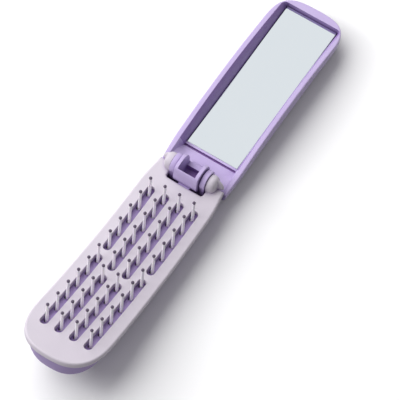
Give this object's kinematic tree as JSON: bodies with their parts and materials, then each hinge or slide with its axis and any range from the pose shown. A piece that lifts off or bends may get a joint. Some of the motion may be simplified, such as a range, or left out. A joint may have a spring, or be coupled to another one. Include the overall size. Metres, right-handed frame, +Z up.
{
  "type": "pocket mirror comb",
  "caption": "Folding pocket comb: a hollow bowed comb half with ball-tipped teeth in slotted rows, hinged to a shallow tray that holds a face mirror.",
  "frame": {"origin": "centre of the small flat under the lowest point of the bowed comb half, on the table", "axes": "+Z up out of the comb face, +Y from the comb's free end to the mirror's far end, +X across the comb to the right"},
  "size_m": [0.0376, 0.2111, 0.0342],
  "materials": {
    "lilac_plastic": "satin lilac ABS",
    "pale_plastic": "fine matt lilac-white ABS",
    "tooth_plastic": "smooth pale nylon with dark ball tips",
    "mirror_silver": "silvered float glass",
    "pin_steel": "drawn steel",
    "pad_foam": "closed-cell foam tape"
  },
  "bodies": {
    "comb_half": {"comb_shell": "lilac_plastic", "comb_plate": "pale_plastic", "tooth_bed": "lilac_plastic", "tooth_carrier": "tooth_plastic", "hinge_pin_left": "pin_steel", "hinge_pin_right": "pin_steel"},
    "mirror_half": {"mirror_case": "lilac_plastic", "mirror_glass": "mirror_silver", "mirror_pad": "pad_foam"}
  },
  "joints": [
    {"name": "mirror_hinge", "type": "hinge", "parent": "comb_half", "child": "mirror_half", "pos_m": [0, 0.0208, 0.0171], "axis": [1, 0, 0], "range_deg": [0, 174]}
  ]
}
